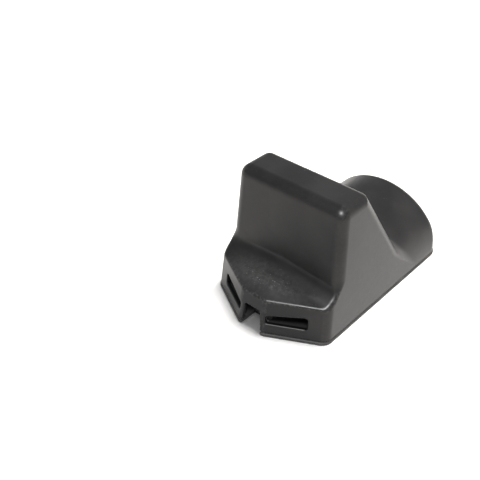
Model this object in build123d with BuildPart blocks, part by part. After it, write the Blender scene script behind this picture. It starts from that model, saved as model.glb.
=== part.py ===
"""A small wheel chock for light trailers: a hollow moulded wedge on a rubber sole.

The chock stands on its sole. +X points from the nose to the toe that goes under the tyre,
+Z points up, and the origin is the middle of the footprint on the ground. Millimetres.
"""
from build123d import *
from math import cos, radians, sin, sqrt, tan
import os

# ---- driving dimensions -------------------------------------------------------------
chock_length = 165.0
chock_width = 95.5
chock_height = 96.0
wall = 3.0
draft_deg = 3.4            # every upright outer wall leans in by this much

# sole and base plate
sole_thickness = 2.5
sole_proud = 0.5           # how far the sole stands out past the shell all round
plate_thickness = 3.0
fit_gap = 0.7              # between the plate's edge and the shell's skirt

# wedge, as distances from the nose
heel_foot = 30.0           # upright heel face, at the ground
ridge_rear = 31.0
ridge_front = 58.6
slope_foot = 126.3         # where the tyre face would reach the ground

# toe hump: a half round that runs forward to the toe
hump_drop = 1.8            # depth of its centre line below the shell's rim
toe_lean_deg = 10.0

# foot: the low step behind the heel, with a nose of three facets
nose_half_width = 10.0
facet_depth = 21.1         # from the nose tip back to the side walls
foot_edge_height = 28.8
foot_crown = 5.0           # rise of the foot's top above its edge
foot_slope_run = 12.0
foot_side_run = 2.5

# strap slots and the notch between them
slot_inner = 10.4          # from the centre plane to each slot's inner end
slot_outer = 34.4
slot_bottom = 10.4
slot_height = 6.2          # at the inner end
slot_rise = 3.2            # how much taller each slot is at its outer end
slot_corner = 1.2
slot_top_corner = 2.4      # of the upper outer corner
notch_bottom_half = 7.8
notch_top_half = 6.2
notch_top = 18.5
notch_floor_depth = 14.0   # how far the floor is cut back behind the nose tip

# rounded edges
edge_radius = 7.0
ridge_front_radius = 4.5
foot_corner_radius = 8.0
nose_corner_radius = 7.0
arch_radius = 4.6
least_inner_radius = 1.5   # of the cavity's matching corners

# inside of the shell
rib = 2.4
boss_radius = 4.5
boss_height = 20.0

# screws that hold the base plate
screw_radius = 1.75
screw_reach = 14.0         # length of the shank above the plate
head_radius = 3.5
head_height = 2.0
head_round = 0.9
plate_hole_radius = 2.1
sole_hole_radius = 4.4     # lets the head in from below

# tread grooves across the sole
groove_width = 3.0
groove_depth = 1.0
groove_pitch = 12.0
groove_length = 50.0
groove_rows = 6            # on each side of the middle

# ---- derived ------------------------------------------------------------------------
nose_x = -chock_length / 2 + sole_proud
toe_x = chock_length / 2 - sole_proud
rim_z = sole_thickness
rim_half = chock_width / 2 - sole_proud
lean = tan(radians(draft_deg))
toe_lean = tan(radians(toe_lean_deg))
heel_x = nose_x + heel_foot
hump_z = rim_z - hump_drop
hump_radius = (rim_half + hump_drop * lean) * cos(radians(draft_deg))
join_x = heel_x + 20.0     # the foot and the hump both run on inside the wedge to here
over = 2.0                 # how far cutting shapes start outside the faces they cut
below = 12.0               # how far the cavity solids run down past the rim
plate_top = rim_z + plate_thickness
bulkhead_x = heel_x + wall / 2
rib_places = [bulkhead_x, -14.0, 20.0, 54.0]
boss_places = [(bulkhead_x, -35.0), (bulkhead_x, 35.0), (20.0, 0.0), (54.0, -30.0), (54.0, 30.0)]
groove_places = [(row + 0.5) * groove_pitch for row in range(-groove_rows, groove_rows)]

os.makedirs("parts", exist_ok=True)


def wedge_solid(inset):
    """Heel, ridge and tyre face in one side profile, with the walls' draft."""
    bottom = rim_z if inset == 0 else rim_z - below
    heel_rate = (ridge_rear - heel_foot) / chock_height
    slope_rate = (slope_foot - ridge_front) / chock_height
    with BuildPart() as wedge:
        with BuildSketch(Plane.XZ):
            with BuildLine():
                Polyline(
                    (heel_x + heel_rate * bottom, bottom),
                    (nose_x + ridge_rear, chock_height),
                    (nose_x + ridge_front, chock_height),
                    (nose_x + slope_foot - slope_rate * bottom, bottom),
                    close=True,
                )
            make_face()
            if inset > 0:
                offset(amount=-inset, kind=Kind.INTERSECTION)
        extrude(amount=chock_width, both=True)
        half_low = rim_half - inset / cos(radians(draft_deg)) + (rim_z - bottom) * lean
        half_high = half_low - (chock_height - bottom) * lean
        with BuildSketch(Plane.YZ.offset(nose_x)):
            with BuildLine():
                Polyline(
                    (-half_low, bottom),
                    (half_low, bottom),
                    (half_high, chock_height),
                    (-half_high, chock_height),
                    close=True,
                )
            make_face()
        extrude(amount=chock_length, mode=Mode.INTERSECT)
        ridge = wedge.faces().sort_by(Axis.Z)[-1]
        ridge_edge = ridge.edges().filter_by(Axis.Y).sort_by(Axis.X)[-1:]
        fillet(ridge_edge, max(ridge_front_radius - inset, least_inner_radius))
        upper = wedge.edges().filter_by(lambda edge: edge.center().Z > bottom + over)
        front_rounds = wedge.edges().filter_by(Axis.Y).filter_by(
            lambda edge: edge.center().X > nose_x + ridge_front - edge_radius
        )
        fillet(upper - front_rounds, edge_radius - inset)
    return wedge.part


def hump_solid(inset):
    """The half-round toe hump, from inside the wedge to the leaning toe face."""
    corner = max(arch_radius - inset, least_inner_radius)
    bottom = rim_z if inset == 0 else rim_z - below
    radius = hump_radius - inset
    touch_y = radius * cos(radians(draft_deg))
    touch_z = hump_z + radius * sin(radians(draft_deg))
    half_low = touch_y + (touch_z - bottom) * lean
    end_x = toe_x - inset / cos(radians(toe_lean_deg))
    with BuildPart() as hump:
        with BuildSketch(Plane.YZ.offset(join_x)):
            with BuildLine():
                Polyline((-touch_y, touch_z), (-half_low, bottom), (half_low, bottom), (touch_y, touch_z))
                ThreePointArc((-touch_y, touch_z), (0, hump_z + radius), (touch_y, touch_z))
            make_face()
        extrude(amount=chock_length)
        top_z = hump_z + hump_radius + over
        with BuildSketch(Plane.XZ):
            with BuildLine():
                Polyline(
                    (heel_x, bottom),
                    (end_x - (bottom - rim_z) * toe_lean, bottom),
                    (end_x - (top_z - rim_z) * toe_lean, top_z),
                    (heel_x, top_z),
                    close=True,
                )
            make_face()
        extrude(amount=chock_width, both=True, mode=Mode.INTERSECT)
        base = hump.faces().sort_by(Axis.Z)[0]
        toe_face = hump.faces().sort_by(Axis.X)[-1]
        fillet(toe_face.edges() - base.edges(), corner)
    return hump.part


def foot_points(shrink):
    """Plan corners of the foot with its nose moved in by shrink[0], and its sides by shrink[1]."""
    nose_in, side_in = shrink
    run = rim_half - nose_half_width
    slant = sqrt(run**2 + facet_depth**2)
    tip_x = nose_x + nose_in
    tip_y = nose_half_width + nose_in * (run - slant) / facet_depth
    out_y = rim_half - side_in
    out_x = nose_x + (nose_in * slant + (out_y - nose_half_width) * facet_depth) / run
    return [(tip_x, tip_y), (out_x, out_y), (join_x, out_y), (join_x, -out_y), (out_x, -out_y), (tip_x, -tip_y)]


def foot_solid(inset):
    """The foot with its three nose facets, its leaning walls and its sloped shoulder."""
    bottom = rim_z if inset == 0 else rim_z - below
    edge_z = foot_edge_height - inset / 2
    crown_z = foot_edge_height + foot_crown - inset
    outer_radius = foot_corner_radius - inset
    inner_radius = max(nose_corner_radius - inset, least_inner_radius)
    edge_in = (edge_z - rim_z) * lean + inset
    levels = [
        (bottom, ((bottom - rim_z) * lean + inset,) * 2),
        (edge_z, (edge_in, edge_in)),
        (crown_z, (edge_in + foot_slope_run, edge_in + foot_side_run)),
    ]
    sections = []
    for height, shrink in levels:
        with BuildSketch(Plane.XY.offset(height)) as plan:
            with BuildLine():
                Polyline(*foot_points(shrink), close=True)
            make_face()
            fillet(plan.vertices().sort_by(Axis.X)[2:4], outer_radius)
            fillet(plan.vertices().sort_by(Axis.X)[0:2], inner_radius)
        sections.append(plan.sketch)
    with BuildPart() as foot:
        loft(sections[0:2], ruled=True)
        loft(sections[1:3], ruled=True)
    return foot.part


def shell_form(inset):
    """Wedge, hump and foot joined: the outside at inset 0, the cavity at the wall's thickness."""
    pieces = [wedge_solid(inset), hump_solid(inset), foot_solid(inset)]
    with BuildPart() as form:
        for piece in pieces:
            add(piece)
    return form.part


def floor_outline(grow, toe_radius):
    """Plan of the shell's rim, moved out by grow, with the floor cut back at the notch."""
    tip, out = foot_points((-grow, -grow))[0:2]
    with BuildSketch(Plane.XY) as plan:
        with BuildLine():
            Polyline(
                tip,
                out,
                (toe_x + grow, out[1]),
                (toe_x + grow, -out[1]),
                (out[0], -out[1]),
                (tip[0], -tip[1]),
                close=True,
            )
        make_face()
        fillet(plan.vertices().sort_by(Axis.X)[4:6], toe_radius)
        fillet(plan.vertices().sort_by(Axis.X)[2:4], foot_corner_radius)
        fillet(plan.vertices().sort_by(Axis.X)[0:2], nose_corner_radius)
        with Locations((nose_x, 0)):
            Rectangle(2 * notch_floor_depth, 2 * notch_bottom_half, mode=Mode.SUBTRACT)
    return plan.sketch


# ---- body shell ---------------------------------------------------------------------
outside = shell_form(0)
cavity = shell_form(wall)

with BuildPart() as hollow:
    add(cavity)
    for x in rib_places:
        with BuildSketch(Plane.XY.offset(plate_top)):
            with Locations((x, 0)):
                Rectangle(rib, chock_width)
        extrude(amount=chock_height, mode=Mode.SUBTRACT)
    with BuildSketch(Plane.XY.offset(plate_top)):
        with Locations(((bulkhead_x + chock_length / 2) / 2, 0)):
            Rectangle(chock_length / 2 - bulkhead_x, rib)
    extrude(amount=chock_height, mode=Mode.SUBTRACT)
    for x, y in boss_places:
        with BuildSketch(Plane.XY.offset(plate_top)):
            with Locations((x, y)):
                Circle(boss_radius)
        extrude(amount=boss_height, mode=Mode.SUBTRACT)

with BuildPart() as body_shell:
    add(outside)
    add(hollow.part, mode=Mode.SUBTRACT)
    for side in (-1, 1):
        with BuildSketch(Plane.YZ.offset(nose_x - over)) as slot:
            with BuildLine():
                Polyline(
                    (side * slot_inner, slot_bottom),
                    (side * slot_outer, slot_bottom),
                    (side * slot_outer, slot_bottom + slot_height + slot_rise),
                    (side * slot_inner, slot_bottom + slot_height),
                    close=True,
                )
            make_face()
            fillet(slot.vertices().sort_by(Axis.Y)[0:3], slot_corner)
            fillet(slot.vertices().sort_by(Axis.Y)[-1], slot_top_corner)
        extrude(amount=facet_depth, mode=Mode.SUBTRACT)
    with BuildSketch(Plane.YZ.offset(nose_x - over)):
        with BuildLine():
            Polyline(
                (-notch_bottom_half, 0),
                (notch_bottom_half, 0),
                (notch_top_half, notch_top),
                (-notch_top_half, notch_top),
                close=True,
            )
        make_face()
    extrude(amount=notch_floor_depth, mode=Mode.SUBTRACT)
    for x, y in boss_places:
        with BuildSketch(Plane.XY.offset(plate_top)):
            with Locations((x, y)):
                Circle(screw_radius)
        extrude(amount=screw_reach + over, mode=Mode.SUBTRACT)
body_shell.part.label = "body_shell"
export_step(body_shell.part, "parts/body_shell.step")

# ---- base plate: sits inside the skirt, flush with the rim --------------------------
with BuildPart() as base_plate:
    with BuildSketch(Plane.XY.offset(rim_z)):
        add(floor_outline(-wall - fit_gap, arch_radius))
    extrude(amount=plate_thickness)
    with BuildSketch(Plane.XY.offset(rim_z)):
        with Locations(boss_places):
            Circle(plate_hole_radius)
    extrude(amount=plate_thickness, mode=Mode.SUBTRACT)
base_plate.part.label = "base_plate"
export_step(base_plate.part, "parts/base_plate.step")

# ---- rubber sole --------------------------------------------------------------------
with BuildPart() as rubber_sole:
    with BuildSketch(Plane.XY):
        add(floor_outline(sole_proud, arch_radius + sole_proud))
    extrude(amount=sole_thickness)
    with BuildSketch(Plane.XY):
        with Locations(boss_places):
            Circle(sole_hole_radius)
    extrude(amount=sole_thickness, mode=Mode.SUBTRACT)
    with BuildSketch(Plane.XY):
        with Locations([(x, 0) for x in groove_places]):
            SlotOverall(groove_length, groove_width, rotation=90)
    extrude(amount=groove_depth, mode=Mode.SUBTRACT)
rubber_sole.part.label = "rubber_sole"
export_step(rubber_sole.part, "parts/rubber_sole.step")

# ---- five screws, up through the plate into the bosses ------------------------------
with BuildPart() as base_screws:
    with BuildSketch(Plane.XY.offset(rim_z)):
        with Locations(boss_places):
            Circle(screw_radius)
    extrude(amount=plate_thickness + screw_reach)
    with BuildSketch(Plane.XY.offset(rim_z - head_height)):
        with Locations(boss_places):
            Circle(head_radius)
    extrude(amount=head_height)
    fillet(base_screws.faces().group_by(Axis.Z)[0].edges(), head_round)
base_screws.part.label = "base_screws"
export_step(base_screws.part, "parts/base_screws.step")
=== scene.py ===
"""A small wheel chock for light trailers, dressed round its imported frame.

The chock is one hollow black moulding on a rubber sole: a wedge with a sloped tyre face, a
half-round toe, and a low foot with three nose facets, two strap slots and an open notch.
Shapes are worked out in millimetres and handed to Blender in metres, in the frame's own axes:
+X runs from the nose to the toe that goes under the tyre, and +Z is up.
"""

import logging
import math
from dataclasses import dataclass, field
from enum import Enum
from typing import Callable, Union

import bpy
import numpy as np
from mathutils import Matrix, Vector

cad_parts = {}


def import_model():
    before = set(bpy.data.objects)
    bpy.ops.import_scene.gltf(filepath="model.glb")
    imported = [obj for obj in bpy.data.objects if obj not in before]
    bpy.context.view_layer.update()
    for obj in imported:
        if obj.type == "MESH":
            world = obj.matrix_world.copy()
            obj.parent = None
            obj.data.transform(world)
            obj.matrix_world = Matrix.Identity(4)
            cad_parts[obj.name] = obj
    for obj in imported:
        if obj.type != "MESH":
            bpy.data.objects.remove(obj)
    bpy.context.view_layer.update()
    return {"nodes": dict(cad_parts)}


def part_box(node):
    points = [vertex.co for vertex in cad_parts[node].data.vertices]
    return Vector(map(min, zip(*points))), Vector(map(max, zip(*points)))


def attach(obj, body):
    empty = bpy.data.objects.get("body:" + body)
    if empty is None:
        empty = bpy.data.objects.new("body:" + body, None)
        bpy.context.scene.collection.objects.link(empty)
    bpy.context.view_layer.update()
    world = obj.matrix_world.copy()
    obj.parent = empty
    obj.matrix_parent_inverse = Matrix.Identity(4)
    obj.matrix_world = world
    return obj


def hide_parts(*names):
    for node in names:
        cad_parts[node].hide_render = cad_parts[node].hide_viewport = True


LOG = logging.getLogger("chock")
MM = 0.001
TINY = 1e-6
NOISE_ROUGHNESS = 0.55
SPOT_CORE = 0.4

Array = np.ndarray
Triple = tuple[float, float, float]
Colour = Triple
Field = Callable[[Array, Array, Array], Array]


# ---- solid fields: a number at every point, negative inside the material, in millimetres ------


def ease(value: Array) -> Array:
    """Runs smoothly from 0 to 1 while value runs from 0 to 1.

    Args:
        value: Any numbers.

    Returns:
        Numbers from 0 to 1.
    """
    part = np.clip(value, 0.0, 1.0)
    return part * part * (3.0 - 2.0 * part)


def meet(first: Array, second: Array, radius: Union[float, Array]) -> Array:
    """Keeps what lies inside both fields, with the edge between them rounded.

    Args:
        first: One field.
        second: The other field.
        radius: Radius of the edge where the two faces stand square to each other.

    Returns:
        The field of the common part.
    """
    inner = np.minimum(np.maximum(first, second), -radius)
    return inner + np.hypot(np.maximum(first + radius, 0.0), np.maximum(second + radius, 0.0))


def merge(first: Array, second: Array, radius: Union[float, Array]) -> Array:
    """Keeps what lies inside either field, with a hollow fillet between them.

    Args:
        first: One field.
        second: The other field.
        radius: Radius of the fillet where the two faces stand square to each other.

    Returns:
        The field of both together.
    """
    outer = np.maximum(np.minimum(first, second), radius)
    return outer - np.hypot(np.maximum(radius - first, 0.0), np.maximum(radius - second, 0.0))


def oblique(radius: float, cosine: Union[float, Array]) -> Union[float, Array]:
    """The rounding to ask of meet or merge for a true radius between faces that aren't square.

    Args:
        radius: The radius wanted.
        cosine: Cosine of the angle between the faces' outward directions.

    Returns:
        The rounding to use.
    """
    return radius * (1.0 - cosine)


def slope_of(field_: Field, points: Array, reach: float = 0.02) -> Array:
    """Gradient of a field at some points.

    Args:
        field_: The field.
        points: Points, one per row, in millimetres.
        reach: How far to either side the field is sampled.

    Returns:
        One gradient per row.
    """
    columns = []
    for axis in range(3):
        shift = np.zeros(3)
        shift[axis] = reach
        ahead, behind = points + shift, points - shift
        columns.append(field_(*ahead.T) - field_(*behind.T))
    return np.stack(columns, axis=1) / (2.0 * reach)


@dataclass
class FieldMesher:
    """Wraps a field in a net of four-sided faces whose corners lie on its surface."""

    low: Triple
    high: Triple
    step: float
    margin: float = 1.5
    settle_rounds: int = 4
    resettle_rounds: int = 2
    relax_rounds: int = 3
    relax_share: float = 0.5
    least_steepness: float = 0.25

    def _axes(self) -> list[Array]:
        """Grid lines along X, Y and Z, running past the box on every side.

        Returns:
            The three lists of places.
        """
        return [
            np.arange(low - self.margin * self.step, high + (self.margin + 1.0) * self.step, self.step)
            for low, high in zip(self.low, self.high)
        ]

    def _net(self, inside: Array) -> tuple[Array, Array]:
        """Finds the cells that the surface crosses and the faces between them.

        Args:
            inside: True at each grid point inside the material.

        Returns:
            The crossed cells' grid places, and the faces as rows of four cell numbers.
        """
        count = np.zeros([n - 1 for n in inside.shape], dtype=np.int8)
        for i in (0, 1):
            for j in (0, 1):
                for k in (0, 1):
                    nx, ny, nz = inside.shape
                    count += inside[i : nx - 1 + i, j : ny - 1 + j, k : nz - 1 + k]
        crossed = (count > 0) & (count < 8)
        number = np.full(crossed.shape, -1, dtype=np.int64)
        number[crossed] = np.arange(int(crossed.sum()))
        faces = []
        for axis in range(3):
            solid = np.moveaxis(inside, axis, 0)
            cells = np.moveaxis(number, axis, 0)
            leaves = solid[:-1, 1:-1, 1:-1] & ~solid[1:, 1:-1, 1:-1]
            enters = ~solid[:-1, 1:-1, 1:-1] & solid[1:, 1:-1, 1:-1]
            for crossing, order in ((leaves, (0, 1, 2, 3)), (enters, (3, 2, 1, 0))):
                a, b, c = np.nonzero(crossing)
                ring = [cells[a, b, c], cells[a, b + 1, c], cells[a, b + 1, c + 1], cells[a, b, c + 1]]
                turn = order if axis != 1 else order[::-1]
                faces.append(np.stack([ring[n] for n in turn], axis=1))
        return np.argwhere(crossed), np.concatenate(faces)

    def _settle(self, field_: Field, points: Array, rounds: int) -> Array:
        """Moves points along the field's gradient until they lie on the surface.

        Args:
            field_: The field.
            points: Points near its surface, one per row.
            rounds: How many moves to make.

        Returns:
            The moved points.
        """
        for _ in range(rounds):
            value = field_(*points.T)
            gradient = slope_of(field_, points)
            size = np.maximum((gradient**2).sum(axis=1), self.least_steepness)
            travel = np.clip(value / size, -self.step, self.step)
            points = points - gradient * travel[:, None]
        return points

    def _relax(self, points: Array, faces: Array, normals: Array) -> Array:
        """Evens the net out by sliding each corner along the surface towards its neighbours.

        Args:
            points: The net's corners.
            faces: Rows of four corner numbers.
            normals: One normal per corner.

        Returns:
            The moved corners.
        """
        total = np.zeros_like(points)
        share = np.zeros(len(points))
        for start, end in ((0, 1), (1, 2), (2, 3), (3, 0)):
            for here, there in ((faces[:, start], faces[:, end]), (faces[:, end], faces[:, start])):
                for axis in range(3):
                    total[:, axis] += np.bincount(here, points[there, axis], len(points))
                share += np.bincount(here, minlength=len(points))
        pull = total / share[:, None] - points
        return points + self.relax_share * (pull - normals * (pull * normals).sum(axis=1, keepdims=True))

    def wrap(self, field_: Field) -> tuple[Array, Array, Array]:
        """Builds the net.

        Args:
            field_: The field to wrap.

        Returns:
            The corners, the faces as rows of four corner numbers, and the corners' normals.
        """
        xs, ys, zs = self._axes()
        inside = field_(xs[:, None, None], ys[None, :, None], zs[None, None, :]) < 0.0
        places, faces = self._net(inside)
        origin = np.array([xs[0], ys[0], zs[0]])
        points = origin + (places + 0.5) * self.step
        points = self._settle(field_, points, self.settle_rounds)
        for _ in range(self.relax_rounds):
            points = self._relax(points, faces, self._normals(field_, points))
            points = self._settle(field_, points, self.resettle_rounds)
        return points, faces, self._normals(field_, points)

    @staticmethod
    def _normals(field_: Field, points: Array) -> Array:
        """Unit normals of the field's surface at the points."""
        gradient = slope_of(field_, points)
        return gradient / np.maximum(np.linalg.norm(gradient, axis=1, keepdims=True), TINY)


def place_mesh(name: str, points: Array, faces: Array, normals: Array) -> bpy.types.Object:
    """Makes a smooth-shaded object from a net, in metres.

    Args:
        name: Name of the piece.
        points: Corners in millimetres.
        faces: Rows of four corner numbers.
        normals: One normal per corner, which the shading follows.

    Returns:
        The new object, linked to the scene.
    """
    mesh = bpy.data.meshes.new(name)
    mesh.vertices.add(len(points))
    mesh.vertices.foreach_set("co", (points * MM).ravel())
    mesh.loops.add(faces.size)
    mesh.loops.foreach_set("vertex_index", faces.ravel())
    mesh.polygons.add(len(faces))
    mesh.polygons.foreach_set("loop_start", np.arange(0, faces.size, 4))
    mesh.update(calc_edges=True)
    mesh.validate()
    mesh.polygons.foreach_set("use_smooth", np.ones(len(mesh.polygons), dtype=bool))
    mesh.normals_split_custom_set_from_vertices(normals)
    piece = bpy.data.objects.new(name, mesh)
    bpy.context.scene.collection.objects.link(piece)
    return piece


def store_on_corners(piece: bpy.types.Object, name: str, values: Array) -> None:
    """Keeps one number per corner on a piece, for its finish to read.

    Args:
        piece: The piece.
        name: What the numbers are called.
        values: One number per corner.
    """
    layer = piece.data.attributes.new(name, "FLOAT", "POINT")
    layer.data.foreach_set("value", values.astype(np.float32))


# ---- finishes ---------------------------------------------------------------------------------


class Wire:
    """One value in a material's node tree, which can be used in sums."""

    def __init__(self, maker: "NodeMaker", socket: bpy.types.NodeSocket) -> None:
        """Wraps a socket.

        Args:
            maker: The maker whose tree the socket is in.
            socket: An output socket that carries a number.
        """
        self.maker = maker
        self.socket = socket

    def _sum(self, operation: str, first: "Value", second: "Value") -> "Wire":
        """Adds a Math node."""
        node = self.maker.node("ShaderNodeMath", {"operation": operation}, {0: first, 1: second})
        return Wire(self.maker, node.outputs[0])

    def __add__(self, other: "Value") -> "Wire":
        """Sum."""
        return self._sum("ADD", self, other)

    def __radd__(self, other: "Value") -> "Wire":
        """Sum, with the value on the right."""
        return self._sum("ADD", other, self)

    def __sub__(self, other: "Value") -> "Wire":
        """Difference."""
        return self._sum("SUBTRACT", self, other)

    def __rsub__(self, other: "Value") -> "Wire":
        """Difference, with the value on the right."""
        return self._sum("SUBTRACT", other, self)

    def __mul__(self, other: "Value") -> "Wire":
        """Product."""
        return self._sum("MULTIPLY", self, other)

    def __rmul__(self, other: "Value") -> "Wire":
        """Product, with the value on the right."""
        return self._sum("MULTIPLY", other, self)

    def __pow__(self, other: "Value") -> "Wire":
        """Power."""
        return self._sum("POWER", self, other)

    def __rpow__(self, other: "Value") -> "Wire":
        """Power, with the value as the exponent."""
        return self._sum("POWER", other, self)

    def between(self, low: float, high: float) -> "Wire":
        """Runs smoothly from 0 to 1 as the value runs from low to high.

        Args:
            low: Where it starts to rise; it may be above high, and then it falls.
            high: Where it stops.

        Returns:
            A value from 0 to 1.
        """
        node = self.maker.node(
            "ShaderNodeMapRange",
            {"interpolation_type": "SMOOTHSTEP"},
            {"Value": self, "From Min": low, "From Max": high, "To Min": 0.0, "To Max": 1.0},
        )
        return Wire(self.maker, node.outputs["Result"])

    def clipped(self) -> "Wire":
        """Held between 0 and 1."""
        node = self.maker.node("ShaderNodeClamp", {}, {"Value": self})
        return Wire(self.maker, node.outputs[0])


Value = Union[Wire, float]


class NodeMaker:
    """Builds one material's nodes."""

    def __init__(self, name: str) -> None:
        """Starts an empty material.

        Args:
            name: The finish's name.
        """
        self.material = bpy.data.materials.new(name)
        self.material.use_nodes = True
        self.tree = self.material.node_tree
        self.tree.nodes.clear()
        self.place = self.node("ShaderNodeTexCoord", {}, {}).outputs["Object"]

    def node(self, kind: str, settings: dict, inputs: dict) -> bpy.types.Node:
        """Adds a node.

        Args:
            kind: The node's type.
            settings: Properties to set first, such as a Math node's operation.
            inputs: Socket names or numbers, each with a value, a Wire or an output socket.

        Returns:
            The new node.
        """
        made = self.tree.nodes.new(kind)
        for key, value in settings.items():
            setattr(made, key, value)
        for key, value in inputs.items():
            target = made.inputs[key]
            if isinstance(value, Wire):
                self.tree.links.new(value.socket, target)
            elif isinstance(value, bpy.types.NodeSocket):
                self.tree.links.new(value, target)
            else:
                target.default_value = value
        return made

    def noise(self, size_mm: float, detail: float = 2.0, stretch: Triple = (1.0, 1.0, 1.0)) -> Wire:
        """Cloudy variation.

        Args:
            size_mm: Size of its patches.
            detail: How many finer layers it has.
            stretch: How much finer it is along each axis.

        Returns:
            A value that varies about 0.5.
        """
        moved = self.node("ShaderNodeVectorMath", {"operation": "MULTIPLY"}, {0: self.place, 1: stretch})
        inputs = {"Vector": moved.outputs[0], "Scale": 1.0 / (size_mm * MM)}
        inputs |= {"Detail": detail, "Roughness": NOISE_ROUGHNESS}
        made = self.node("ShaderNodeTexNoise", {}, inputs)
        return Wire(self, made.outputs["Fac"])

    def specks(self, pitch_mm: float, size: float, offset: float = 0.0) -> Wire:
        """Small scattered spots.

        Args:
            pitch_mm: Mean distance between spots.
            size: Radius of a spot as a part of the pitch.
            offset: Moves the pattern, so that two sets differ.

        Returns:
            1 on a spot and 0 elsewhere.
        """
        moved = self.node("ShaderNodeVectorMath", {"operation": "ADD"}, {0: self.place, 1: (offset,) * 3})
        made = self.node(
            "ShaderNodeTexVoronoi", {}, {"Vector": moved.outputs[0], "Scale": 1.0 / (pitch_mm * MM)}
        )
        return Wire(self, made.outputs["Distance"]).between(size, SPOT_CORE * size)

    def stored(self, name: str) -> Wire:
        """A number kept on the piece's corners."""
        made = self.node("ShaderNodeAttribute", {"attribute_name": name}, {})
        return Wire(self, made.outputs["Fac"])

    def facing_up(self) -> Wire:
        """How much the surface faces up, from -1 to 1.

        Returns:
            The value.
        """
        normal = self.node("ShaderNodeNewGeometry", {}, {}).outputs["Normal"]
        split = self.node("ShaderNodeSeparateXYZ", {}, {0: normal})
        return Wire(self, split.outputs["Z"])

    def mix(self, share: Value, first: "Paint", second: "Paint") -> bpy.types.NodeSocket:
        """Mixes two colours.

        Args:
            share: How much of the second colour there is.
            first: A colour or a colour socket.
            second: A colour or a colour socket.

        Returns:
            The mixed colour's socket.
        """
        ends = [(*c, 1.0) if isinstance(c, tuple) else c for c in (first, second)]
        made = self.node(
            "ShaderNodeMix", {"data_type": "RGBA"}, {"Factor": share, 6: ends[0], 7: ends[1]}
        )
        return made.outputs[2]

    def bump(self, layers: list[tuple[Wire, float]]) -> bpy.types.NodeSocket:
        """Relief made of several layers.

        Args:
            layers: Each layer's height pattern and its depth in millimetres.

        Returns:
            The normal's socket.
        """
        made = None
        for height, depth in layers:
            inputs = {"Height": height, "Distance": depth * MM, "Strength": 1.0}
            if made is not None:
                inputs["Normal"] = made.outputs[0]
            made = self.node("ShaderNodeBump", {}, inputs)
        return made.outputs[0]

    def finish(self, surface: dict) -> bpy.types.Material:
        """Closes the material with its shader.

        Args:
            surface: Values for the shader's sockets.

        Returns:
            The finished material.
        """
        shader = self.node("ShaderNodeBsdfPrincipled", {}, surface)
        self.node("ShaderNodeOutputMaterial", {}, {"Surface": shader.outputs[0]})
        return self.material


Paint = Union[Colour, bpy.types.NodeSocket]


@dataclass(frozen=True)
class MouldedPlastic:
    """Black moulded plastic: fine grain, soft sink marks, pale edges, dust and scuffs."""

    name: str = "shell_plastic"
    colour: Colour = (0.0125, 0.0123, 0.0127)
    faded: Colour = (0.0195, 0.0191, 0.0193)
    rubbed: Colour = (0.066, 0.065, 0.064)
    dust: Colour = (0.26, 0.25, 0.24)
    roughness: float = 0.36

    def build(self) -> bpy.types.Material:
        """Makes the material.

        Returns:
            The material.
        """
        make = NodeMaker(self.name)
        clouds = make.noise(size_mm=34.0, detail=3.0)
        mottle = make.noise(size_mm=3.2, detail=4.0)
        grain = make.noise(size_mm=0.45, detail=2.0)
        up = make.facing_up().between(0.45, 0.95)
        edge = make.stored("edge").between(0.05, 0.6)
        foot = make.stored("foot")
        ragged = make.noise(size_mm=1.6, detail=5.0).between(0.42, 0.66)
        rubbed = (edge * ragged * 0.7).clipped()
        scuffs = make.noise(size_mm=2.6, detail=6.0, stretch=(1.0, 0.35, 1.0)).between(0.60, 0.74)
        scratch = make.noise(size_mm=7.0, detail=3.0, stretch=(14.0, 0.5, 1.0)).between(0.66, 0.72)
        big = make.specks(pitch_mm=4.6, size=0.13)
        small = make.specks(pitch_mm=2.4, size=0.15, offset=0.31)
        tiny = make.specks(pitch_mm=1.5, size=0.16, offset=0.77)
        patchy = make.noise(size_mm=14.0, detail=2.0).between(0.50, 0.66)
        cluster = foot**5.0
        dust = (up * (small * patchy * 0.2 + (big * 0.9 + small * 0.7 + tiny * 0.4) * cluster)).clipped()
        base = make.mix(clouds.between(0.3, 0.7), self.colour, self.faded)
        haze = foot * up * (mottle.between(0.3, 0.7) * 0.4 + scuffs * 0.3 + 0.45)
        worn = make.mix((rubbed + haze + scratch * up * 0.10).clipped(), base, self.rubbed)
        colour = make.mix(dust, worn, self.dust)
        rough = (
            self.roughness
            + (mottle - 0.5) * 0.10
            + (clouds - 0.5) * 0.10
            + rubbed * 0.08
            + scuffs * foot * 0.16
            + dust * 0.3
        )
        relief = make.bump([(clouds, 0.10), (mottle, 0.012), (grain, 0.010), (scuffs * foot * up, -0.03)])
        return make.finish(
            {"Base Color": colour, "Roughness": rough.clipped(), "Normal": relief, "Specular IOR Level": 0.19}
        )


@dataclass(frozen=True)
class PlateMoulding:
    """The base plate's plain moulding, duller than the shell."""

    name: str = "plate_plastic"
    colour: Colour = (0.030, 0.030, 0.031)
    faded: Colour = (0.048, 0.047, 0.046)
    roughness: float = 0.58

    def build(self) -> bpy.types.Material:
        """Makes the material.

        Returns:
            The material.
        """
        make = NodeMaker(self.name)
        clouds = make.noise(size_mm=22.0, detail=3.0)
        grain = make.noise(size_mm=0.6, detail=3.0)
        colour = make.mix(clouds.between(0.35, 0.7), self.colour, self.faded)
        rough = self.roughness + (clouds - 0.5) * 0.14
        relief = make.bump([(grain, 0.02)])
        return make.finish({"Base Color": colour, "Roughness": rough, "Normal": relief})


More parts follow.
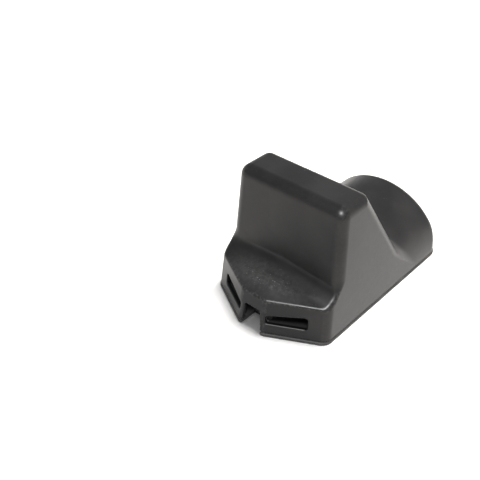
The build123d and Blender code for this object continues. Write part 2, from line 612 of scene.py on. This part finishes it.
@dataclass(frozen=True)
class SoleRubber:
    """Matt black rubber with a fine pebble and road dust in its low places."""

    name: str = "sole_rubber"
    colour: Colour = (0.016, 0.016, 0.017)
    faded: Colour = (0.032, 0.031, 0.030)
    dust: Colour = (0.20, 0.185, 0.165)
    roughness: float = 0.72

    def build(self) -> bpy.types.Material:
        """Makes the material.

        Returns:
            The material.
        """
        make = NodeMaker(self.name)
        clouds = make.noise(size_mm=12.0, detail=4.0)
        pebble = make.noise(size_mm=0.8, detail=3.0)
        film = (clouds.between(0.48, 0.72) * pebble.between(0.45, 0.6) * 0.35).clipped()
        colour = make.mix(film, make.mix(clouds, self.colour, self.faded), self.dust)
        rough = (self.roughness + (pebble - 0.5) * 0.2 + film * 0.2).clipped()
        relief = make.bump([(pebble, 0.05), (clouds, 0.05)])
        return make.finish({"Base Color": colour, "Roughness": rough, "Normal": relief})


@dataclass(frozen=True)
class ZincSteel:
    """Bright zinc on the screws, a little dull and spotted."""

    name: str = "screw_steel"
    colour: Colour = (0.60, 0.60, 0.58)
    spotted: Colour = (0.36, 0.33, 0.29)
    roughness: float = 0.34

    def build(self) -> bpy.types.Material:
        """Makes the material.

        Returns:
            The material.
        """
        make = NodeMaker(self.name)
        clouds = make.noise(size_mm=1.8, detail=4.0)
        fine = make.noise(size_mm=0.25, detail=2.0)
        spots = clouds.between(0.56, 0.70)
        colour = make.mix(spots * 0.7, self.colour, self.spotted)
        rough = (self.roughness + spots * 0.25 + (fine - 0.5) * 0.1).clipped()
        relief = make.bump([(fine, 0.008), (clouds, 0.01)])
        metal = 1.0 - spots * 0.3
        return make.finish({"Base Color": colour, "Roughness": rough, "Metallic": metal, "Normal": relief})


@dataclass(frozen=True)
class PaleFloor:
    """Plain white floor."""

    name: str = "pale_floor"
    colour: Colour = (0.90, 0.89, 0.88)
    clouded: Colour = (0.87, 0.86, 0.85)
    roughness: float = 0.85

    def build(self) -> bpy.types.Material:
        """Makes the material.

        Returns:
            The material.
        """
        make = NodeMaker(self.name)
        colour = make.mix(make.noise(size_mm=90.0, detail=2.0) * 0.2, self.colour, self.clouded)
        return make.finish({"Base Color": colour, "Roughness": self.roughness})


class Slot(Enum):
    """The record's material slots, each with its finish."""

    SHELL = MouldedPlastic()
    PLATE = PlateMoulding()
    SOLE = SoleRubber()
    SCREW = ZincSteel()

    def dress(self, piece: bpy.types.Object) -> None:
        """Puts the finish on a piece.

        Args:
            piece: A new piece, or a node of the frame.
        """
        finish = bpy.data.materials.get(self.value.name + "_finish") or self.value.build()
        finish.name = self.value.name + "_finish"
        if piece.material_slots:
            for place in piece.material_slots:
                place.material = finish
        else:
            piece.data.materials.append(finish)


# ---- the chock --------------------------------------------------------------------------------


@dataclass
class Plan:
    """Sizes that the shell and the sole share, in millimetres."""

    nose_x: float
    toe_x: float
    rim_z: float
    top_z: float
    rim_half: float
    draft: float = math.radians(3.4)
    nose_half_width: float = 10.0
    facet_depth: float = 21.1
    foot_corner: float = 8.0
    nose_corner: float = 7.0
    toe_corner: float = 10.0
    notch_bottom_half: float = 7.8
    notch_top_half: float = 6.2
    notch_top: float = 18.5
    notch_floor_depth: float = 14.0
    notch_top_corner: float = 1.0
    notch_flare: float = 1.8
    plate_thickness: float = 3.0
    heel_foot: float = 30.0
    join_depth: float = 20.0
    wall: float = 3.0
    boss_aft_y: float = 35.0
    boss_fore_y: float = 30.0
    rib_xs: Triple = (-14.0, 20.0, 54.0)

    @classmethod
    def from_frame(cls) -> "Plan":
        """Reads the shell's box from the frame.

        Returns:
            The plan, with the box in millimetres.
        """
        low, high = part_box("body_shell")
        return cls(
            nose_x=low[0] / MM,
            toe_x=high[0] / MM,
            rim_z=low[2] / MM,
            top_z=high[2] / MM,
            rim_half=high[1] / MM,
        )

    @property
    def facet_run(self) -> float:
        """Width of one angled facet, across the chock."""
        return self.rim_half - self.nose_half_width

    @property
    def facet_normal(self) -> tuple[float, float]:
        """Outward direction of an angled facet, towards the nose and to the side."""
        length = math.hypot(self.facet_run, self.facet_depth)
        return self.facet_run / length, self.facet_depth / length

    @property
    def heel_x(self) -> float:
        """Where the upright heel meets the ground."""
        return self.nose_x + self.heel_foot

    @property
    def join_x(self) -> float:
        """Place inside the wedge where the foot and the half-round toe both end."""
        return self.heel_x + self.join_depth

    @property
    def bulkhead_x(self) -> float:
        """Middle of the rib that carries the heel down to the plate."""
        return self.heel_x + self.wall / 2.0

    @property
    def bosses(self) -> list[tuple[float, float]]:
        """Centres of the five screw bosses.

        Returns:
            Places along and across the chock.
        """
        fore = self.rib_xs[2]
        aft = self.bulkhead_x
        return [
            (aft, -self.boss_aft_y),
            (aft, self.boss_aft_y),
            (self.rib_xs[1], 0.0),
            (fore, -self.boss_fore_y),
            (fore, self.boss_fore_y),
        ]

    def side(self, y: Array, z: Array, lean: float, grow: float = 0.0) -> Array:
        """Both side walls.

        Args:
            y: Places across the chock.
            z: Heights.
            lean: How far the wall leans in, as an angle.
            grow: How far the wall is moved out.

        Returns:
            Distance outside the walls.
        """
        half = self.rim_half + grow - (z - self.rim_z) * math.tan(lean)
        return (np.abs(y) - half) * math.cos(lean)

    def front(self, x: Array, y: Array, z: Array, lean: float, grow: float = 0.0) -> Array:
        """The three nose facets, with their upright edges a little rounded.

        Args:
            x: Places along the chock.
            y: Places across it.
            z: Heights.
            lean: How far the facets lean in, as an angle.
            grow: How far the facets are moved out.

        Returns:
            Distance outside the facets.
        """
        forward, sideways = self.facet_normal
        inset = (z - self.rim_z) * math.tan(lean) - grow
        middle = self.nose_x - x + inset
        angled = (self.nose_x - x) * forward + (np.abs(y) - self.nose_half_width) * sideways + inset
        return meet(middle, angled, oblique(self.nose_corner, forward)) * math.cos(lean)

    def notch(self, x: Array, y: Array, z: Array) -> Array:
        """The open notch in the nose, narrower at its top and flared at the rim.

        Args:
            x: Places along the chock.
            y: Places across it.
            z: Heights.

        Returns:
            The notch's field.
        """
        narrowing = (self.notch_top_half - self.notch_bottom_half) / self.notch_top
        half = self.notch_bottom_half + narrowing * z
        short = np.clip(self.notch_flare - (z - self.rim_z), 0.0, self.notch_flare)
        half = half + self.notch_flare - np.sqrt(self.notch_flare**2 - short**2)
        opening = meet(np.abs(y) - half, z - self.notch_top, self.notch_top_corner)
        return np.maximum(opening, x - self.nose_x - self.facet_depth / 2)


@dataclass
class BodyShell:
    """The hollow moulding: wedge, half-round toe and foot, in one skin."""

    plan: Plan
    step: float = 0.9
    ridge_rear: float = 31.0
    ridge_front: float = 58.6
    slope_foot: float = 126.3
    ridge_rear_radius: float = 7.5
    ridge_front_radius: float = 5.0
    edge_radius: float = 7.0
    heel_blend: float = 11.0
    crown_blend: float = 22.0
    hump_drop: float = 1.8
    hump_blend: float = 10.0
    hump_core: float = 1.0
    toe_lean: float = math.radians(10.0)
    arch_radius: float = 4.6
    toe_corner_height: float = 22.0
    foot_edge_z: float = 28.8
    foot_crown: float = 5.0
    foot_slope_run: float = 12.0
    foot_side_radius: float = 3.2
    foot_side_start: float = 2.0
    foot_side_fade: float = 6.0
    wedge_edge_height: float = 2.0
    wedge_edge_reach: float = 1.0
    wedge_edge_fade: float = 9.0
    facet_edge_radius: float = 1.2
    rim_radius: float = 0.7
    slot_inner: float = 10.4
    slot_outer: float = 34.4
    slot_bottom: float = 10.4
    slot_height: float = 6.2
    slot_rise: float = 3.2
    slot_corner: float = 1.2
    slot_top_corner: float = 2.4
    lip_radius: float = 0.8
    rib: float = 2.4
    rib_fillet: float = 1.0
    boss_radius: float = 4.5
    boss_height: float = 20.0
    boss_fillet: float = 0.6
    screw_radius: float = 1.75
    screw_reach: float = 16.0
    bend_reach: float = 1.0
    rubbed_middle: tuple[float, float] = (18.0, 4.0)
    rubbed_reach: tuple[float, float] = (19.0, 46.0)
    rubbed_strength: float = 1.1
    rubbed_below: float = 2.0
    rubbed_fade_in: float = 3.0
    rubbed_above: float = 14.0
    rubbed_fade_out: float = 8.0
    pieces: list[bpy.types.Object] = field(default_factory=list)

    @property
    def plate_top(self) -> float:
        """Height of the base plate's upper face."""
        return self.plan.rim_z + self.plan.plate_thickness

    def wedge(self, x: Array, z: Array) -> Array:
        """Heel, ridge and tyre face, seen from the side.

        Args:
            x: Places along the chock.
            z: Heights.

        Returns:
            The wedge's field.
        """
        plan = self.plan
        heel_rate = (self.ridge_rear - plan.heel_foot) / plan.top_z
        tyre_rate = (self.slope_foot - self.ridge_front) / plan.top_z
        heel = (plan.heel_x + heel_rate * z - x) / math.hypot(1.0, heel_rate)
        tyre = (x - plan.nose_x - self.slope_foot + tyre_rate * z) / math.hypot(1.0, tyre_rate)
        rear = meet(heel, z - plan.top_z, self.ridge_rear_radius)
        lie = tyre_rate / math.hypot(1.0, tyre_rate)
        return meet(rear, tyre, oblique(self.ridge_front_radius, lie))

    def foot_top(self, x: Array, y: Array, z: Array) -> Array:
        """The foot's flat top and the shoulder that slopes down to the facets.

        Args:
            x: Places along the chock.
            y: Places across it.
            z: Heights.

        Returns:
            The foot's field, without its side walls.
        """
        plan = self.plan
        tilt = math.atan2(self.foot_crown, self.foot_slope_run)
        inward = plan.front(x, y, z, plan.draft)
        shoulder = (z - self.foot_edge_z + inward * math.tan(tilt)) * math.cos(tilt)
        top = z - self.foot_edge_z - self.foot_crown
        crown = meet(top, shoulder, oblique(self.crown_blend, math.cos(tilt)))
        return np.maximum(crown, x - plan.join_x)

    def hump(self, x: Array, y: Array, z: Array) -> tuple[Array, Array]:
        """The half-round toe.

        Args:
            x: Places along the chock.
            y: Places across it.
            z: Heights.

        Returns:
            Its field, and how squarely its surface faces up.
        """
        plan = self.plan
        centre = plan.rim_z - self.hump_drop
        radius = (plan.rim_half + self.hump_drop * math.tan(plan.draft)) * math.cos(plan.draft)
        reach = np.hypot(y, z - centre)
        upper = z - centre > np.abs(y) * math.tan(plan.draft)
        arch = np.where(upper, reach - radius, plan.side(y, z, plan.draft))
        toe = (x - plan.toe_x + (z - plan.rim_z) * math.tan(self.toe_lean)) * math.cos(self.toe_lean)
        spread = 1.0 - ease((z - plan.rim_z) / self.toe_corner_height)
        corner = self.arch_radius + (plan.toe_corner - self.arch_radius) * spread
        body = np.maximum(meet(arch, toe, corner), plan.join_x - x)
        return body, np.clip((z - centre) / np.maximum(reach, self.hump_core), 0.0, 1.0)

    def form(self, x: Array, y: Array, z: Array) -> Array:
        """The outside of the moulding, without its openings and running on below the rim.

        Args:
            x: Places along the chock.
            y: Places across it.
            z: Heights.

        Returns:
            The field of the outside.
        """
        plan = self.plan
        tyre_rate = (self.slope_foot - self.ridge_front) / plan.top_z
        lie = tyre_rate / math.hypot(1.0, tyre_rate)
        profile = merge(self.wedge(x, z), self.foot_top(x, y, z), self.heel_blend)
        corner = oblique(plan.foot_corner, plan.facet_normal[1])
        walls = meet(plan.front(x, y, z, plan.draft), plan.side(y, z, plan.draft), corner)
        behind_facets = x - plan.nose_x - plan.facet_depth + self.foot_side_start
        side_share = ease(behind_facets / self.foot_side_fade)
        foot_edge = self.facet_edge_radius + (self.foot_side_radius - self.facet_edge_radius) * side_share
        above_foot = z - self.foot_edge_z - self.foot_crown - self.wedge_edge_height
        behind_heel = x - plan.heel_x - self.wedge_edge_reach
        clear_of_foot = np.maximum(
            ease(above_foot / self.wedge_edge_fade), ease(behind_heel / self.wedge_edge_fade)
        )
        edge = foot_edge + (self.edge_radius - foot_edge) * clear_of_foot
        block = meet(profile, walls, edge)
        hump, upward = self.hump(x, y, z)
        return np.maximum(merge(block, hump, oblique(self.hump_blend, lie * upward)), walls)

    def cavity(self, x: Array, y: Array, z: Array) -> Array:
        """The hollow inside, with its ribs and screw bosses left standing.

        Args:
            x: Places along the chock.
            y: Places across it.
            z: Heights.

        Returns:
            The hollow's field.
        """
        plan = self.plan
        hollow = self.form(x, y, z) + plan.wall
        above = self.plate_top - z
        for rib_x in (plan.bulkhead_x, *plan.rib_xs):
            hollow = meet(hollow, -np.maximum(np.abs(x - rib_x) - self.rib / 2.0, above), self.rib_fillet)
        spine = np.maximum(np.maximum(np.abs(y) - self.rib / 2.0, plan.bulkhead_x - x), above)
        hollow = meet(hollow, -spine, self.rib_fillet)
        for boss_x, boss_y in plan.bosses:
            post = np.maximum(np.hypot(x - boss_x, y - boss_y) - self.boss_radius, above)
            post = np.maximum(post, z - self.plate_top - self.boss_height)
            hollow = meet(hollow, -post, self.boss_fillet)
        return hollow

    def slots(self, x: Array, y: Array, z: Array) -> Array:
        """The two strap slots, cut straight back through the angled facets.

        Args:
            x: Places along the chock.
            y: Places across it.
            z: Heights.

        Returns:
            The slots' field.
        """
        width = self.slot_outer - self.slot_inner
        out = np.abs(y) - self.slot_inner
        rate = self.slot_rise / width
        above = (z - self.slot_bottom - self.slot_height - rate * out) / math.hypot(1.0, rate)
        below = meet(self.slot_bottom - z, np.abs(out - width / 2.0) - width / 2.0, self.slot_corner)
        corner = self.slot_corner + (self.slot_top_corner - self.slot_corner) * ease(out / width)
        return np.maximum(meet(below, above, corner), x - self.plan.nose_x - self.plan.facet_depth)

    def solid(self, x: Array, y: Array, z: Array) -> Array:
        """The finished moulding.

        Args:
            x: Places along the chock.
            y: Places across it.
            z: Heights.

        Returns:
            The moulding's field.
        """
        outside = meet(self.form(x, y, z), self.plan.rim_z - z, self.rim_radius)
        skin = np.maximum(outside, -self.cavity(x, y, z))
        skin = meet(skin, -self.slots(x, y, z), self.lip_radius)
        skin = meet(skin, -self.plan.notch(x, y, z), self.lip_radius)
        for boss_x, boss_y in self.plan.bosses:
            hole = np.hypot(x - boss_x, y - boss_y) - self.screw_radius
            skin = np.maximum(skin, -np.maximum(hole, z - self.plate_top - self.screw_reach))
        return skin

    def sharpness(self, points: Array) -> Array:
        """How strongly the outside bends at points on the surface; high on edges that rub.

        Args:
            points: Points, one per row.

        Returns:
            One number per point, near 0 on flat faces.
        """
        here = self.solid(*points.T)
        bend = np.zeros(len(points))
        for axis in range(3):
            shift = np.zeros(3)
            shift[axis] = self.bend_reach
            for moved in (points + shift, points - shift):
                bend += self.form(*moved.T) - here
        return bend / self.bend_reach**2

    def rubbed_share(self, x: Array, y: Array, z: Array) -> Array:
        """How much shoes have rubbed the foot's top, from 0 to 1.

        Args:
            x: Places along the chock.
            y: Places across it.
            z: Heights.

        Returns:
            The share at each point.
        """
        middle_x, middle_y = self.rubbed_middle
        reach_x, reach_y = self.rubbed_reach
        away = np.hypot((x - self.plan.nose_x - middle_x) / reach_x, (y - middle_y) / reach_y)
        from_below = (z - self.foot_edge_z + self.rubbed_below) / self.rubbed_fade_in
        from_above = (self.foot_edge_z + self.rubbed_above - z) / self.rubbed_fade_out
        return ease(self.rubbed_strength - away) * ease(from_below) * ease(from_above)

    def build(self) -> None:
        """Makes the shell and dresses it."""
        plan = self.plan
        low = (plan.nose_x, -plan.rim_half, plan.rim_z)
        high = (plan.toe_x, plan.rim_half, plan.top_z)
        points, faces, normals = FieldMesher(low, high, self.step).wrap(self.solid)
        shell = place_mesh("shell_moulding", points, faces, normals)
        store_on_corners(shell, "edge", self.sharpness(points))
        store_on_corners(shell, "foot", self.rubbed_share(*points.T))
        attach(shell, "root")
        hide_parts("body_shell")
        Slot.SHELL.dress(shell)
        self.pieces.append(shell)


@dataclass
class BasePlate:
    """The plate that closes the moulding from below; the frame's own node already has its shape."""

    node: bpy.types.Object

    def build(self) -> None:
        """Dresses the node."""
        Slot.PLATE.dress(self.node)


@dataclass
class RubberSole:
    """The grooved rubber sole under the moulding."""

    plan: Plan
    step: float = 0.7
    proud: float = 0.5
    lip: float = 0.6
    notch_corner: float = 1.2
    head_hole_radius: float = 4.4
    groove_width: float = 3.0
    groove_depth: float = 1.0
    groove_pitch: float = 12.0
    groove_length: float = 50.0
    groove_rows: int = 6
    groove_lip: float = 0.3
    pieces: list[bpy.types.Object] = field(default_factory=list)

    def solid(self, x: Array, y: Array, z: Array) -> Array:
        """The finished sole.

        Args:
            x: Places along the chock.
            y: Places across it.
            z: Heights.

        Returns:
            The sole's field.
        """
        plan = self.plan
        corner = oblique(plan.foot_corner + self.proud, plan.facet_normal[1])
        walls = meet(plan.front(x, y, z, 0.0, self.proud), plan.side(y, z, 0.0, self.proud), corner)
        walls = meet(walls, x - plan.toe_x - self.proud, plan.toe_corner + self.proud)
        half = plan.rim_z / 2.0
        sole = meet(walls, np.abs(z - half) - half, self.lip)
        cut_back = np.maximum(np.abs(y) - plan.notch_bottom_half, x - plan.nose_x - plan.notch_floor_depth)
        sole = meet(sole, -cut_back, self.notch_corner)
        for boss_x, boss_y in plan.bosses:
            sole = np.maximum(sole, self.head_hole_radius - np.hypot(x - boss_x, y - boss_y))
        nearest = (np.floor(x / self.groove_pitch) + 0.5) * self.groove_pitch
        straight = (self.groove_length - self.groove_width) / 2.0
        groove = np.hypot(np.maximum(np.abs(y) - straight, 0.0), x - nearest) - self.groove_width / 2.0
        beyond = np.abs(x) - self.groove_rows * self.groove_pitch
        groove = np.maximum(np.maximum(groove, z - self.groove_depth), beyond)
        return meet(sole, -groove, self.groove_lip)

    def build(self) -> None:
        """Makes the sole and dresses it."""
        plan = self.plan
        low = (plan.nose_x - self.proud, -plan.rim_half - self.proud, 0.0)
        high = (plan.toe_x + self.proud, plan.rim_half + self.proud, plan.rim_z)
        sole = place_mesh("tread_sole", *FieldMesher(low, high, self.step).wrap(self.solid))
        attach(sole, "root")
        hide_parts("rubber_sole")
        Slot.SOLE.dress(sole)
        self.pieces.append(sole)


@dataclass
class BaseScrews:
    """Five pan-head screws, driven up through the plate into the bosses."""

    plan: Plan
    step: float = 0.22
    head_radius: float = 3.5
    head_height: float = 2.0
    head_round: float = 0.9
    face_round: float = 0.15
    core_radius: float = 1.35
    crest_radius: float = 1.72
    thread_pitch: float = 1.6
    thread_start: float = 0.45
    thread_rise: float = 0.5
    shank_length: float = 17.0
    point_length: float = 2.5
    tip_round: float = 0.1
    shank_overlap: float = 0.5
    neck_fillet: float = 0.2
    recess_reach: float = 2.0
    recess_width: float = 0.75
    recess_depth: float = 1.3
    recess_taper: float = 0.9
    recess_fillet: float = 0.2
    recess_lip: float = 0.12
    first_turn: float = 0.3
    turn_step: float = 0.9
    pieces: list[bpy.types.Object] = field(default_factory=list)

    def solid(self, x: Array, y: Array, z: Array) -> Array:
        """One screw, with its head's upper face at height 0 and its shank above.

        Args:
            x: Places across the screw.
            y: Places across it, square to x.
            z: Heights above the head's upper face.

        Returns:
            The screw's field.
        """
        out = np.hypot(x, y)
        head = meet(out - self.head_radius, -z - self.head_height, self.head_round)
        head = meet(head, z, self.face_round)
        turn = np.arctan2(y, x) / (2.0 * math.pi)
        wave = np.abs(np.mod(z / self.thread_pitch - turn, 1.0) - 0.5) * 2.0
        crest = ease((wave - self.thread_start) / self.thread_rise)
        thread = self.core_radius + (self.crest_radius - self.core_radius) * crest
        tip = 1.0 - ease((z - self.shank_length + self.point_length) / self.point_length)
        shank = meet(out - thread * tip, z - self.shank_length, self.tip_round)
        shank = np.maximum(shank, -z - self.shank_overlap)
        screw = merge(head, shank, self.neck_fillet)
        depth = -z - self.head_height + self.recess_depth
        reach = self.recess_reach - np.maximum(depth, 0.0) * self.recess_taper
        along_x = np.maximum(np.abs(x) - reach, np.abs(y) - self.recess_width / 2.0)
        along_y = np.maximum(np.abs(y) - reach, np.abs(x) - self.recess_width / 2.0)
        cross = merge(along_x, along_y, self.recess_fillet)
        cross = np.maximum(cross, z + self.head_height - self.recess_depth)
        return meet(screw, -cross, self.recess_lip)

    def build(self) -> None:
        """Makes the screws, each turned a little differently, and dresses them."""
        low = (-self.head_radius, -self.head_radius, -self.head_height)
        high = (self.head_radius, self.head_radius, self.shank_length)
        points, faces, normals = FieldMesher(low, high, self.step).wrap(self.solid)
        for number, (boss_x, boss_y) in enumerate(self.plan.bosses):
            turn = np.array(Matrix.Rotation(self.turn_step * number + self.first_turn, 3, "Z"))
            place = np.array([boss_x, boss_y, self.plan.rim_z])
            screw = place_mesh(f"base_screw_{number + 1}", points @ turn.T + place, faces, normals @ turn.T)
            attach(screw, "root")
            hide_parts("base_screws")
            Slot.SCREW.dress(screw)
            self.pieces.append(screw)


# ---- the studio -------------------------------------------------------------------------------


class LightUse(Enum):
    """What a light does."""

    SOFT = "lights surfaces evenly, without glints"
    GLINT = "only makes glints"


@dataclass(frozen=True)
class BroadLight:
    """A distant soft light, with the direction in which it lies and how wide it looks."""

    name: str
    towards: Triple
    strength: float
    angle_deg: float
    use: LightUse
    colour: Colour = (1.0, 1.0, 1.0)

    def build(self) -> None:
        """Hangs the light."""
        light = bpy.data.lights.new(self.name, "SUN")
        light.color = self.colour
        light.energy = self.strength
        light.angle = math.radians(self.angle_deg)
        lamp = bpy.data.objects.new(self.name, light)
        bpy.context.scene.collection.objects.link(lamp)
        lamp.visible_glossy = self.use is LightUse.GLINT
        lamp.visible_diffuse = self.use is LightUse.SOFT
        lamp.rotation_euler = Vector(self.towards).to_track_quat("Z", "Y").to_euler()


@dataclass
class Studio:
    """Pale floor, soft lights and the camera."""

    camera_place: Vector = field(default_factory=lambda: Vector((-0.36205, -0.22684, 0.33683)))
    camera_aim: Vector = field(default_factory=lambda: Vector((0.61421, 0.52252, -0.59137)))
    camera_roll: float = math.radians(1.80)
    lens_mm: float = 55.41
    sensor_mm: float = 36.0
    floor_radius: float = 4.0
    floor_sides: int = 96
    sky: Colour = (0.42, 0.42, 0.425)
    sky_strength: float = 1.0
    lights: tuple[BroadLight, ...] = field(
        default_factory=lambda: (
            BroadLight("top_glint", (-0.50, -0.33, 0.80), 9.0, 8.0, LightUse.GLINT),
            BroadLight("top_light", (0.16, -0.10, 0.98), 3.2, 22.0, LightUse.SOFT),
            BroadLight("back_light", (0.95, -0.12, 0.30), 11.5, 24.0, LightUse.SOFT, (1.0, 0.955, 0.90)),
        )
    )

    def _floor(self) -> None:
        """A round floor, seamless out to the horizon."""
        turns = [2 * math.pi * n / self.floor_sides for n in range(self.floor_sides)]
        radius = self.floor_radius
        ring = [(radius * math.cos(turn), radius * math.sin(turn), 0.0) for turn in turns]
        mesh = bpy.data.meshes.new("studio_floor")
        mesh.from_pydata(ring, [], [tuple(range(self.floor_sides))])
        floor = bpy.data.objects.new("studio_floor", mesh)
        bpy.context.scene.collection.objects.link(floor)
        floor.data.materials.append(PaleFloor().build())

    def _world(self) -> None:
        """An even surround."""
        world = bpy.data.worlds.new("surround")
        bpy.context.scene.world = world
        world.use_nodes = True
        sky = world.node_tree.nodes["Background"]
        sky.inputs["Color"].default_value = (*self.sky, 1.0)
        sky.inputs["Strength"].default_value = self.sky_strength

    def _camera(self) -> None:
        """The camera, looking down at the foot and one side."""
        lens = bpy.data.cameras.new("camera")
        lens.lens = self.lens_mm
        lens.sensor_width = self.sensor_mm
        camera = bpy.data.objects.new("camera", lens)
        bpy.context.scene.collection.objects.link(camera)
        turn = self.camera_aim.to_track_quat("-Z", "Y").to_matrix()
        camera.matrix_world = Matrix.Translation(self.camera_place) @ (
            turn @ Matrix.Rotation(self.camera_roll, 3, "Z")
        ).to_4x4()
        bpy.context.scene.camera = camera

    def build(self) -> None:
        """Sets the studio up."""
        self._floor()
        self._world()
        for light in self.lights:
            light.build()
        self._camera()
        bpy.context.scene.view_settings.view_transform = "Standard"


def main() -> None:
    """Builds the chock and its studio."""
    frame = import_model()
    plan = Plan.from_frame()
    shell = BodyShell(plan)
    sole = RubberSole(plan)
    screws = BaseScrews(plan)
    plate = BasePlate(frame["nodes"]["base_plate"])
    for part in (shell, plate, sole, screws):
        part.build()
        LOG.info("built %s", type(part).__name__)
    for group in (shell, sole, screws):
        for piece in group.pieces:
            LOG.info("%s has %d faces", piece.name, len(piece.data.polygons))
    Studio().build()
    LOG.info("sizes written")


if __name__ == "__main__":
    logging.basicConfig(level=logging.INFO, format="%(message)s")
    main()
